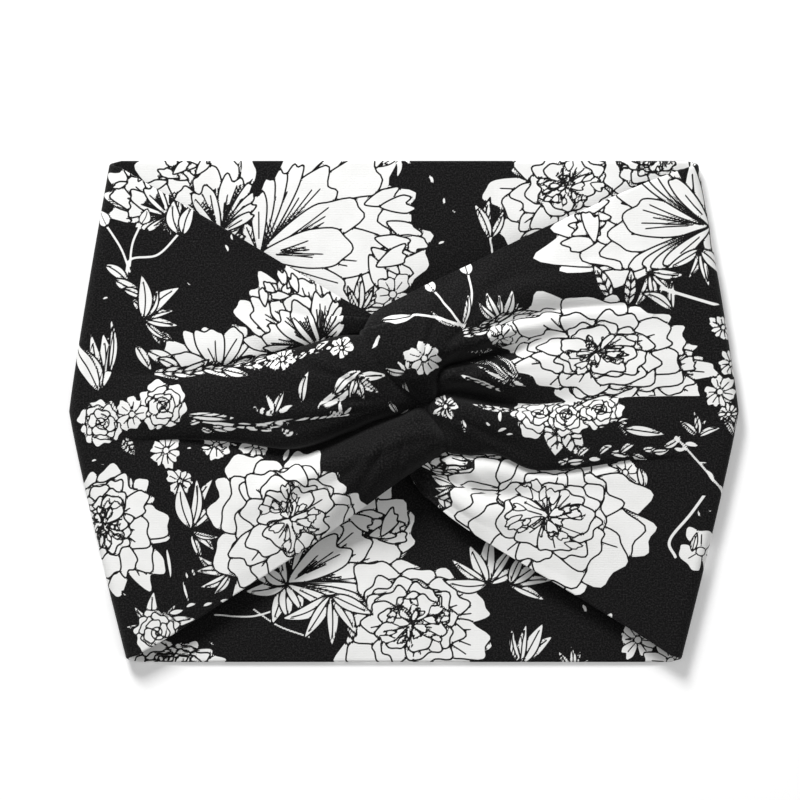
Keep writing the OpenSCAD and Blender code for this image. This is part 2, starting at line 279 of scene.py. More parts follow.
class FrontHalf:
    """One half of the knotted front, as a surface of (s, q). s is the distance from the side fold
    along the cloth, and q is the share across it."""

    def __init__(self, side, xs, rails, zones):
        """side is -1 for left, 1 for right, and zones are the rails that bound the print's zones."""
        self.side = side
        starts = np.array([r[0] for r in rails], float)
        self.rail_q = (HALF_H - starts) / (2 * HALF_H)
        first = np.stack([side * fold_line(starts), starts * SKEW, np.full(len(starts), FRONT_Z)],
                         axis=-1)
        table = [first]
        for k, x in enumerate(xs):
            table.append(np.array([(x, *r[1 + k]) for r in rails], float))
        for k in range(1 + len(xs), len(rails[0])):
            table.append(np.array([r[k] for r in rails], float))
        self.table = np.stack(table)
        middle = self.table.mean(axis=1)[:, 0]
        self.s_knots = np.concatenate([[0], np.cumsum(np.maximum(np.abs(np.diff(middle)), 1.0))])
        self.s_join = self.s_knots[1]
        self.s_end = self.s_knots[-1]
        self.zone_q = self.rail_q[list(zones)]
        self.anchor_q = (self.zone_q[:-1] + self.zone_q[1:]) / 2

    def points(self, s):
        """Middle of the cloth at each s, for every q of the grid: rails first, then across them."""
        lines = curve_through(self.s_knots, self.table, s, np.array([1, 1, 0]))
        points = curve_through(self.rail_q, lines.transpose(1, 0, 2), Q).transpose(1, 0, 2)
        start = curve_through(self.rail_q, self.table[0][:, 0], Q)
        points[..., 0] += (self.side * fold_line(FLAT_Y) - start) * smooth(self.s_join, 0, s)[:, None]
        return points

    def zone(self):
        """Index of the print zone of each q."""
        return np.clip(np.searchsorted(self.zone_q, Q, side="right") - 1, 0, len(self.zone_q) - 2)

    def cloth(self, points):
        """Print coordinates: x along, and the length of cloth across from the middle of each zone."""
        across = np.zeros(points.shape[:2])
        across[:, 1:] = np.cumsum(np.linalg.norm(np.diff(points[..., 1:], axis=1), axis=2), axis=1)
        zone = self.zone()
        v = np.empty_like(across)
        for k, q0 in enumerate(self.anchor_q):
            a = int(np.argmin(np.abs(Q - q0)))
            mask = zone == k
            v[:, mask] = points[:, a:a + 1, 1] - (across[:, mask] - across[:, a:a + 1])
        if self.side > 0:  # in the knot the zones lie side by side, so they share one height
            flat = 1 - smooth(13, 24, points[..., 0])
            v = v + (points[..., 1] - v) * flat
        return np.stack([points[..., 0], v], axis=-1)


LEFT = FrontHalf(-1, LEFT_X, LEFT_RAILS, LEFT_ZONES)
RIGHT = FrontHalf(1, RIGHT_X, RIGHT_RAILS, RIGHT_ZONES)


KNOT = (2, 5)            # middle of the knot
WRINKLE, SWAY = 0.36, 0.5  # heights of the small wrinkles and of the slow waves


def gathered(points, side):
    """Small wrinkles that fan out from the knot: two waves round it, sin(23 angle) and sin(37 angle),
    that die away with distance, and slow waves sin(x) sin(y) that die away at the cloth's edges."""
    x, y = points[..., 0], points[..., 1]
    reach = np.hypot(x - KNOT[0], y - KNOT[1])
    angle = np.arctan2(y - KNOT[1], x - KNOT[0])
    size = WRINKLE * smooth(95, 28, reach) * smooth(8, 26, reach)
    wave = np.sin(23 * angle + 0.05 * reach) + 0.6 * np.sin(37 * angle + 1.3 * side + 0.03 * reach)
    sway = SWAY * np.sin(x / 17.0 + 1.1 * side) * np.sin(y / 13.0 + 0.4) * smooth(105, 60, np.abs(x))
    out = points.copy()
    out[..., 2] += (size * wave + sway * smooth(0, 12, EDGE)) * smooth(119, 96, np.abs(x))
    return out


# ---------------------------------------------------------------- closed skins
def stitch(fine, coarse, flip):
    """Triangles between a row of points and a row with as many or half as many spans."""
    c0, c1 = coarse[:-1], coarse[1:]
    if len(fine) == len(coarse):
        tris = [(fine[:-1], fine[1:], c0), (fine[1:], c1, c0)]
    else:
        f0, f1, f2 = fine[:-2:2], fine[1::2], fine[2::2]
        tris = [(f0, f1, c0), (f1, c1, c0), (f1, f2, c1)]
    t = np.concatenate([np.stack(x, axis=1) for x in tris])
    t = t[(t[:, 0] != t[:, 1]) & (t[:, 1] != t[:, 2]) & (t[:, 0] != t[:, 2])]
    return t[:, ::-1] if flip else t


def quads(index, flip):
    """Four-sided faces of a grid of point numbers."""
    f = np.stack([index[:-1, :-1], index[1:, :-1], index[1:, 1:], index[:-1, 1:]], axis=-1)
    f = f.reshape(-1, 4)
    return f[:, ::-1] if flip else f


def closed_skin(middle, step, taper):
    """Skins on both sides of a mid surface, which has one spare row at each end for its slopes. taper
    is the share of the thickness at each row. The upper skin keeps every point, the lower one every
    step-th, and they share the points on the cloth's edges.
    Returns points, the two grids of point numbers, triangles, four-sided faces and the end rows."""
    along = middle[2:] - middle[:-2]
    across = np.gradient(middle[1:-1], axis=1)
    normal = np.cross(along, across)
    normal /= np.maximum(np.linalg.norm(normal, axis=2, keepdims=True), 1e-9)
    mid = middle[1:-1]
    half = (taper[:, None] * HALF_PROFILE)[..., None]
    over = mid + normal * half
    under = (mid - normal * half)[::step, ::step]
    rows, cols = over.shape[:2]
    top = np.arange(rows * cols).reshape(rows, cols)
    low = np.arange(under.shape[0] * (under.shape[1] - 2)).reshape(under.shape[0], -1) + rows * cols
    low = np.concatenate([top[::step, :1], low, top[::step, -1:]], axis=1)
    points = np.concatenate([over.reshape(-1, 3), under[:, 1:-1].reshape(-1, 3)])
    four = np.concatenate([quads(top, False), quads(low[:, 1:-1], True)])
    three = np.concatenate([
        stitch(top[:, 0], low[:, 1], True), stitch(top[:, -1], low[:, -2], False),
        stitch(top[0], low[0], False), stitch(top[-1], low[-1], True)])
    ends = [np.unique(np.concatenate([top[i], low[i]])) for i in (0, -1)]
    return points, top, low, three, four, ends


def build(name, middle, step, taper, over_print, under_print):
    """Makes one piece from its mid surface. Each print is (cloth coordinates, white, ink) on its grid,
    and goes into the mesh as attributes. ink_reach is ink without its sign."""
    points, top, low, three, four, ends = closed_skin(middle, step, taper)
    mesh = bpy.data.meshes.new(name)
    loops = np.concatenate([four.ravel(), three.ravel()])
    sizes = np.concatenate([np.full(len(four), 4), np.full(len(three), 3)])
    starts = np.concatenate([[0], np.cumsum(sizes)[:-1]])
    mesh.vertices.add(len(points))
    mesh.vertices.foreach_set("co", (points * MM).astype(np.float32).ravel())
    mesh.loops.add(len(loops))
    mesh.loops.foreach_set("vertex_index", loops.astype(np.int32))
    mesh.polygons.add(len(sizes))
    mesh.polygons.foreach_set("loop_start", starts.astype(np.int32))
    mesh.update(calc_edges=True)
    mesh.validate()
    mesh.polygons.foreach_set("use_smooth", np.ones(len(mesh.polygons), bool))
    edges = np.empty(len(mesh.edges) * 2, np.int32)
    mesh.edges.foreach_get("vertices", edges)
    edges = edges.reshape(-1, 2)
    sharp = np.zeros(len(edges), bool)
    for end in ends:
        sharp |= np.isin(edges, end).all(axis=1)
    mesh.attributes.new("sharp_edge", "BOOLEAN", "EDGE").data.foreach_set("value", sharp)

    def spread(pick):
        """One layer of both prints, in the order of the mesh's points."""
        out = np.empty((len(points),) + pick(over_print).shape[2:], np.float32)
        shape = low[:, 1:-1].shape
        out[low[:, 1:-1].ravel()] = pick(under_print)[::step, ::step][:, 1:-1].reshape(
            shape[0] * shape[1], *out.shape[1:])
        out[top.ravel()] = pick(over_print).reshape(top.size, *out.shape[1:])
        return out

    cloth = spread(lambda p: p[0])
    mesh.attributes.new("cloth", "FLOAT_VECTOR", "POINT").data.foreach_set(
        "vector", np.concatenate([cloth, np.zeros((len(cloth), 1), np.float32)], axis=1).ravel())
    for key, pick in (("white", lambda p: p[1]), ("ink", lambda p: p[2]),
                      ("ink_reach", lambda p: np.abs(p[2]))):
        mesh.attributes.new(key, "FLOAT", "POINT").data.foreach_set("value", spread(pick).ravel())
    mesh.materials.append(CLOTH)
    piece = bpy.data.objects.new(name, mesh)
    bpy.context.scene.collection.objects.link(piece)
    return piece


# ---------------------------------------------------------------- the print
LINE = 0.30      # half the width of an ink line
REACH = 0.5      # how far from a line's middle the mesh points beside it may lie, on average
FAR = 9.0        # a distance that stands for nothing near
ROOM = 1.5       # how far round a shape its distances are worked out
LIGHT = 0.85     # boldness of a light stroke


def signed_distance(points, outline):
    """Distance to a closed outline, negative inside it."""
    a, b = outline, np.roll(outline, -1, axis=0)
    side = b - a
    rel = points[:, None] - a[None]
    t = np.clip((rel * side).sum(-1) / np.maximum((side * side).sum(-1), 1e-9), 0, 1)
    d = np.sqrt(((rel - t[..., None] * side) ** 2).sum(-1).min(axis=1))
    above = (a[:, 1] > points[:, 1:2]) != (b[:, 1] > points[:, 1:2])
    rise = np.where(np.abs(side[:, 1]) < 1e-9, 1e-9, side[:, 1])
    left = points[:, :1] < rel[..., 1] / rise * side[:, 0] + a[:, 0]
    return np.where((above & left).sum(axis=1) % 2 == 1, -d, d)


def line_distance(points, line):
    """Distance to an open line of points, negative on its right-hand side."""
    a, b = line[:-1], line[1:]
    side = b - a
    rel = points[:, None] - a[None]
    t = np.clip((rel * side).sum(-1) / np.maximum((side * side).sum(-1), 1e-9), 0, 1)
    square = ((rel - t[..., None] * side) ** 2).sum(-1)
    near = square.argmin(axis=1)
    rows = np.arange(len(points))
    turn = side[near, 0] * rel[rows, near, 1] - side[near, 1] * rel[rows, near, 0]
    return np.sqrt(square[rows, near]) * np.where(turn < 0, -1, 1)


class Print:
    """White flowers on black, drawn back to front. For each point of the cloth it keeps the distance
    to the white, negative inside it, and the distance to the nearest ink line, with the side of the
    line as its sign, so that a line's middle can be found between two points of the mesh."""

    def __init__(self, cloth, zone):
        """cloth is a grid of print coordinates, and zone numbers its columns."""
        self.shape = cloth.shape[:2]
        self.at = cloth.reshape(-1, 2)
        self.zone = np.broadcast_to(zone, self.shape).ravel()
        self.white = np.full(len(self.at), FAR)
        self.ink = np.full(len(self.at), FAR)
        self.scope = np.arange(len(self.at))
        self.weight = 1.0

    def aim(self, x, y, reach, zones, weight=1.0):
        """Limits what follows to a circle and to some zones. weight is how bold its lines are."""
        near = (np.abs(self.at[:, 0] - x) < reach) & (np.abs(self.at[:, 1] - y) < reach)
        if zones is not None:
            near &= np.isin(self.zone, zones)
        self.scope = np.nonzero(near)[0]
        self.weight = weight
        return len(self.scope) > 0

    def near(self, line, room):
        """Numbers of the points in scope that are near a line."""
        at = self.at[self.scope]
        low, high = line.min(axis=0) - room, line.max(axis=0) + room
        return self.scope[((at > low) & (at < high)).all(axis=1)]

    def patch(self, outline):
        """A white patch with an ink outline, hiding what is behind it."""
        i = self.near(outline, ROOM)
        if len(i):
            s = signed_distance(self.at[i], outline)
            edge = s / self.weight
            self.ink[i] = np.where((s < 0) | (edge < np.abs(self.ink[i])), edge, self.ink[i])
            self.white[i] = np.minimum(self.white[i], s)

    def stroke(self, line, half):
        """A plain white line of the given half width."""
        i = self.near(line, half + ROOM)
        if len(i):
            s = np.abs(line_distance(self.at[i], line)) - half
            self.ink[i] = np.where(s < 0, FAR, self.ink[i])
            self.white[i] = np.minimum(self.white[i], s)

    def pen(self, line, bold=1.0):
        """A thin ink line over what is there."""
        i = self.near(line, ROOM)
        if len(i):
            edge = line_distance(self.at[i], line) / (self.weight * bold)
            self.ink[i] = np.where(np.abs(edge) < np.abs(self.ink[i]), edge, self.ink[i])


def arrow(x, y, degrees):
    """A function from (along, across) to points, for a shape at (x, y) that points at an angle."""
    a = np.radians(degrees)
    forward, left = np.array([np.cos(a), np.sin(a)]), np.array([-np.sin(a), np.cos(a)])
    return lambda along, across: (np.array([x, y]) + np.multiply.outer(along, forward)
                                  + np.multiply.outer(across, left))


AROUND = np.linspace(0, 2 * np.pi, 44, endpoint=False)


def petal_outline(put, length, width, rng, ruffle):
    """A petal with a narrow foot and a broad ruffled tip: across = sin k (0.3 + 0.7 along), where
    along = (1 - cos k) / 2, and both swell and shrink by small waves towards the tip."""
    along = 0.5 - 0.5 * np.cos(AROUND)
    across = np.sin(AROUND) * (0.3 + 0.7 * along)
    wave = ruffle * along ** 2 * (np.sin(3 * AROUND + rng.uniform(0, 6.3))
                                  + 0.6 * np.sin(7 * AROUND + rng.uniform(0, 6.3)))
    dent = 1 - rng.uniform(0, 0.09) * np.exp(-((AROUND - np.pi) / 0.35) ** 2)
    return put(length * along * (1 + wave) * dent, width / 2 * across * (1 + wave))


def veins(cloth, put, length, width, rng, count):
    """Short ink strokes that run out from a petal's foot."""
    for k in range(count):
        lean = (k - (count - 1) / 2) / max(count, 1) + rng.uniform(-0.05, 0.05)
        t = np.linspace(rng.uniform(0.1, 0.3), rng.uniform(0.45, 0.82), 7)
        cloth.pen(put(length * t, width * lean * 0.95 * t * np.sqrt(t)), LIGHT)


def peony(cloth, x, y, r, zones, seed, tall=1.0, turn=0, lean=(0, 0), heart=0.3, full=5):
    """An open flower: rings of ruffled petals from the outside in, then a heart of small curls and
    stamens. tall flattens it, lean moves its heart off the middle, heart is how wide that is, and full
    is how many rings there are."""
    if not cloth.aim(x, y, r * 1.35, zones):
        return
    rng = np.random.default_rng(seed)
    heart_at = np.array([x + lean[0] * r, y + lean[1] * r])

    def squashed(put):
        """The same shape, flattened about the heart."""
        return lambda along, across: (put(along, across) - heart_at) * [1, tall] + heart_at

    rings = ((1.0, 9), (0.87, 8), (0.7, 8), (0.55, 7), (0.42, 6))
    for level, (share, count) in enumerate(rings[:full]):
        start = turn + rng.uniform(0, 360)
        for k in rng.permutation(count):
            angle = start + 360 * k / count + rng.uniform(-13, 13)
            a = np.radians(angle)
            pull = 1 - (np.cos(a) * lean[0] + np.sin(a) * lean[1])
            length = r * share * rng.uniform(0.84, 1.06) * (pull if level < 3 else 1)
            width = 2 * np.pi * r * share / count * rng.uniform(0.85, 1.35)
            put = squashed(arrow(*heart_at, angle))
            cloth.patch(petal_outline(put, length, width, rng, 0.075))
            if rng.random() < 0.6:
                veins(cloth, put, length, width, rng, rng.integers(1, 5))
    cloth.weight = 0.75
    for k in range(22):
        a, d = rng.uniform(0, 6.28), r * heart * (1.1 - k / 20) * rng.uniform(0.6, 1.0)
        curl = np.degrees(a) + rng.uniform(-50, 50)
        put = squashed(arrow(heart_at[0] + d * np.cos(a), heart_at[1] + d * np.sin(a), curl))
        size = r * rng.uniform(0.1, 0.19)
        cloth.patch(petal_outline(put, size, size * rng.uniform(0.6, 1.0), rng, 0.12))
    for k in range(8):
        a, d = rng.uniform(0, 6.28), r * heart * rng.uniform(0.5, 1.25)
        foot = heart_at + 0.3 * d * np.array([np.cos(a), np.sin(a) * tall])
        tip = heart_at + d * np.array([np.cos(a + 0.3), np.sin(a + 0.3) * tall])
        cloth.pen(np.stack([foot, (foot + tip) / 2 + rng.uniform(-0.3, 0.3, 2), tip]))
        cloth.pen(np.stack([tip, tip + 0.1]), 1.7)


def cup_rose(cloth, x, y, r, angle, zones, seed, spread=1.0):
    """A half-open rose seen from the side. Its foot is at (x, y), and its petals fan out from there;
    narrow striped petals lie along both sides, and sepals hang back from the foot."""
    if not cloth.aim(x, y, r * 1.25, zones):
        return
    rng = np.random.default_rng(seed)
    for side in (-1, 1):
        for k in range(3):
            put = arrow(x, y, angle + side * (150 - 24 * k))
            blade(cloth, put, r * (0.3 - 0.04 * k), r * 0.1, rng)
    plan = ((-50, 0.8, 0.38), (50, 0.84, 0.38), (-36, 0.94, 0.4), (34, 0.98, 0.42), (-18, 1.04, 0.46),
            (14, 1.08, 0.5), (-2, 1.0, 0.46), (27, 0.88, 0.4), (-28, 0.86, 0.38), (8, 0.8, 0.42),
            (-12, 0.74, 0.36), (42, 0.66, 0.3), (-42, 0.64, 0.3), (18, 0.62, 0.3), (-3, 0.54, 0.3))
    for lean, long, wide in plan:
        put = arrow(x, y, angle + lean * spread + rng.uniform(-4, 4))
        length = r * long * rng.uniform(0.94, 1.04)
        cloth.patch(petal_outline(put, length, r * wide * 1.1, rng, 0.065))
        veins(cloth, put, r * long, r * wide, rng, 5)
    put = arrow(x, y, angle)
    for k in range(8):
        a = rng.uniform(-0.22, 0.22)
        foot = put(rng.uniform(0.62, 0.78) * r, a * r)
        curl = arrow(*foot, angle + rng.uniform(-80, 80))
        cloth.patch(petal_outline(curl, r * 0.2, r * 0.14, rng, 0.12))
    for side in (-1, 1):
        for k in range(4):
            put = arrow(x, y, angle + side * (60 + 9 * k) * spread)
            cloth.patch(petal_outline(put, r * (0.6 - 0.07 * k), r * 0.13, rng, 0.03))
            cloth.pen(put(r * np.array([0.1, 0.4 - 0.05 * k]), np.zeros(2)), LIGHT)


def rose(cloth, x, y, r, zones, seed, tall=1.0):
    """A small round rose: two rings of petals, then a spiral of ink lines in the heart."""
    if not cloth.aim(x, y, r * 1.3, zones, 0.8):
        return
    rng = np.random.default_rng(seed)
    middle = np.array([x, y])
    for share, count in ((1.0, 6), (0.74, 5), (0.5, 4)):
        start = rng.uniform(0, 360)
        for k in range(count):
            put = arrow(x, y, start + 360 * k / count + rng.uniform(-8, 8))
            length = r * share * rng.uniform(0.9, 1.08)
            outline = petal_outline(put, length, 7 * r * share / count, rng, 0.07)
            cloth.patch((outline - middle) * [1, tall] + middle)
    turn = np.linspace(0, 3.6 * np.pi, 40) + rng.uniform(0, 6)
    swirl = np.stack([np.cos(turn), np.sin(turn) * tall], axis=1)
    cloth.pen(middle + swirl * (r * 0.34 * turn / turn.max())[:, None])


def blossom(cloth, x, y, r, zones, seed, petals=5):
    """A small open blossom of a few petals round a dot."""
    if not cloth.aim(x, y, r * 1.5, zones, 0.7):
        return
    rng = np.random.default_rng(seed)
    start = rng.uniform(0, 360)
    for k in range(petals):
        put = arrow(x, y, start + 360 * k / petals + rng.uniform(-10, 10))
        length = r * rng.uniform(0.85, 1.15)
        cloth.patch(petal_outline(put, length, 6 * r / petals, rng, 0.1))
        cloth.pen(put(length * np.array([0.3, 0.7]), np.zeros(2)))
    dot = np.stack([np.cos(AROUND[::4]), np.sin(AROUND[::4])], axis=1)
    cloth.patch(np.array([x, y]) + 0.2 * r * dot)


def blade(cloth, put, length, width, rng, ribs=0):
    """A lens-shaped leaf with a bent middle rib, and side ribs if asked for."""
    t = np.linspace(0, 1, 16)
    bend = rng.uniform(-0.12, 0.12) * length * np.sin(np.pi * t)
    half = width / 2 * np.sin(np.pi * t ** 0.8) ** 0.9
    there, back = put(length * t, bend + half), put(length * t, bend - half)
    cloth.patch(np.concatenate([there, back[::-1][1:-1]]))
    if width > 2:
        cloth.pen(put(length * t[1:13], bend[1:13]), LIGHT)
    for k in range(ribs):
        at = 0.2 + 0.6 * k / max(ribs, 1)
        i = int(at * 15)
        for side in (-1, 1):
            cloth.pen(put(length * np.array([at, at + 0.12]),
                          bend[i] + side * np.array([0, 0.75 * half[min(i + 2, 15)]])))


def leaf(cloth, x, y, length, angle, zones, width, ribs, seed):
    """One leaf from its foot at (x, y). width is a share of its length."""
    if cloth.aim(x, y, length * 1.2, zones, min(1, max(0.7, length * width / 3))):
        blade(cloth, arrow(x, y, angle), length, length * width, np.random.default_rng(seed), ribs)


def leaf_fan(cloth, x, y, length, angle, count, zones, seed, opening=110):
    """Leaves that fan out from one foot."""
    rng = np.random.default_rng(seed)
    for k in range(count):
        lean = (k / max(count - 1, 1) - 0.5) * opening
        leaf(cloth, x, y, length * rng.uniform(0.75, 1.1), angle + lean, zones,
             rng.uniform(0.2, 0.33), 0, seed + k)


def stem(cloth, points, zones, half=0.36):
    """A white stem through a few points."""
    points = np.array(points, float)
    centre = points.mean(axis=0)
    if cloth.aim(*centre, np.abs(points - centre).max() + 3, zones):
        t = np.linspace(0, len(points) - 1, 10 * len(points))
        cloth.stroke(curve_through(np.arange(len(points)), points, t), half)


def bud(cloth, points, size, zones, seed):
    """A closed bud at the end of a stem that runs through the points."""
    stem(cloth, points, zones)
    (x0, y0), (x1, y1) = points[-2], points[-1]
    angle = np.degrees(np.arctan2(y1 - y0, x1 - x0))
    if cloth.aim(x1, y1, size * 2, zones, 0.7):
        rng = np.random.default_rng(seed)
        blade(cloth, arrow(x1, y1, angle), size * 1.2, size * 0.8, rng)


def flecks(cloth, places, zones, size=3.0, seed=5):
    """Loose little strokes at some places."""
    rng = np.random.default_rng(seed)
    for x, y in places:
        leaf(cloth, x, y, size * rng.uniform(0.8, 1.4), rng.uniform(0, 360), zones, 0.34, 0, seed)


def leaf_row(cloth, x0, y0, x1, y1, count, zones, size, seed):
    """Little leaves lying along a line."""
    rng = np.random.default_rng(seed)
    angle = np.degrees(np.arctan2(y1 - y0, x1 - x0))
    for k in range(count):
        t = k / max(count - 1, 1)
        leaf(cloth, x0 + (x1 - x0) * t, y0 + (y1 - y0) * t + rng.uniform(-1, 1),
             size * rng.uniform(0.7, 1.2), angle + rng.uniform(-28, 28), zones, 0.34, 0, seed + k)


PANEL, ROLL, ARM = (0,), (1,), (2,)                          # zones of the left half
WRAP, PLEAT, MIDDLE, FOLD, STRIP, SKIRT = (0,), (1,), (2,), (3,), (4,), (5,)  # of the right half


def left_flowers(c):
    """The face print of the left half, in the order in which it is layered."""
    cup_rose(c, -84, 70, 25, 128, PANEL, 11)
    leaf_fan(c, -80, 76, 12, -40, 4, PANEL, 12)
    stem(c, [(-99, 44), (-98, 54), (-88, 56), (-80, 64)], PANEL)
    bud(c, [(-98, 50), (-101, 58), (-106, 66)], 6, PANEL, 2)
    bud(c, [(-98, 52), (-97, 60), (-94, 67)], 5, PANEL, 3)
    leaf(c, -80, 63, 13, 100, PANEL, 0.42, 0, 4)
    leaf(c, -79, 63, 12, 70, PANEL, 0.4, 0, 5)
    leaf_row(c, -107, 52, -84, 24, 8, PANEL, 12, 21)
    peony(c, -68, 20, 19, PANEL, 13, 0.8, 0, (0.1, -0.3), 0.2, 2)
    leaf_fan(c, -93, 33, 16, 28, 6, PANEL, 25, 130)
    leaf_row(c, -96, 24, -84, 16, 4, PANEL, 14, 26)
    leaf_fan(c, -109, 7, 22, 98, 5, PANEL + ROLL, 31, 46)
    leaf(c, -106, 12, 23, 88, PANEL, 0.13, 0, 32)
    cup_rose(c, -30, 22, 33, 125, PANEL, 14, 0.9)
    flecks(c, [(-64, 60), (-61, 61), (-76, 45), (-108, 40)], PANEL)
    leaf_row(c, -90, 13, -54, 16, 11, PANEL + ROLL, 10, 41)
    leaf_row(c, -54, 16, -28, 22, 9, PANEL + ROLL, 7, 43)
    blossom(c, -43, 19, 5, ROLL, 44, 6)
    blossom(c, -22, 23, 4, ROLL, 45)
    rose(c, -108, -4, 9, None, 51)
    rose(c, -86, 2, 9.5, ROLL, 52)
    blossom(c, -97, -1, 6, None, 53)
    leaf(c, -100, -9, 8, -60, None, 0.6, 3, 54)
    leaf(c, -36, 3, 12, 78, ROLL, 0.28, 0, 55)
    leaf_fan(c, -46, -1, 9, 90, 4, ROLL, 56, 140)
    stem(c, [(-74, -3), (-56, -5), (-40, -3), (-20, -2)], ROLL, 0.5)
    leaf_row(c, -77, -5, -44, -6.5, 9, ROLL + ARM, 7, 57)
    leaf(c, -78, -1, 20, -4, ROLL, 0.16, 0, 68)
    leaf(c, -31, 1, 20, 36, ROLL, 0.26, 0, 58)
    for k in range(4):
        leaf(c, -17, 12, 11 - k, 42 - 150 * (k + 1) / 4, ROLL, 0.36, 0, 59 + k)
    leaf(c, -25, 6, 14, 40, ROLL, 0.3, 0, 64)
    leaf_fan(c, -22, -2, 6, 100, 3, ROLL, 61)
    blossom(c, -85, -14, 6, ARM, 62, 6)
    blossom(c, -67, -12, 6, ARM, 63)
    blossom(c, -53, -12, 5.5, ARM, 64)
    blossom(c, -80, -25, 5, ARM, 65)
    leaf_fan(c, -43, -17, 7, 30, 3, ARM, 66, 80)
    leaf_row(c, -78, -13, -62, -12, 4, ARM, 4, 67)
    peony(c, -102, -43, 21, ARM, 71, 1.2, 30, (-0.25, 0.15))
    leaf_fan(c, -76, -42, 20, 66, 5, ARM, 72, 75)
    leaf_fan(c, -76, -43, 13, -40, 3, ARM, 73, 60)
    leaf(c, -85, -48, 14, -82, ARM, 0.1, 0, 69)
    leaf(c, -79, -60, 10, -74, ARM, 0.12, 0, 70)
    flecks(c, [(-76, -56), (-77, -60), (-99, -66), (-112, -18), (-109, -19)], ARM)
    leaf_fan(c, -62, -58, 13, 190, 4, ARM, 74, 80)
    peony(c, -42, -42, 31, ARM, 75, 1.0, 10, (0.05, 0.12))
    leaf_fan(c, -88, -78, 15, 75, 6, ARM, 76, 200)
    rose(c, -88, -79, 9, ARM, 77)
    leaf_row(c, -84, -72, -66, -68, 4, ARM, 5, 78)
    leaf(c, 2, 1, 9, 230, ROLL, 0.3, 0, 79)
    leaf(c, -6, 4, 8, -60, ROLL, 0.3, 0, 80)


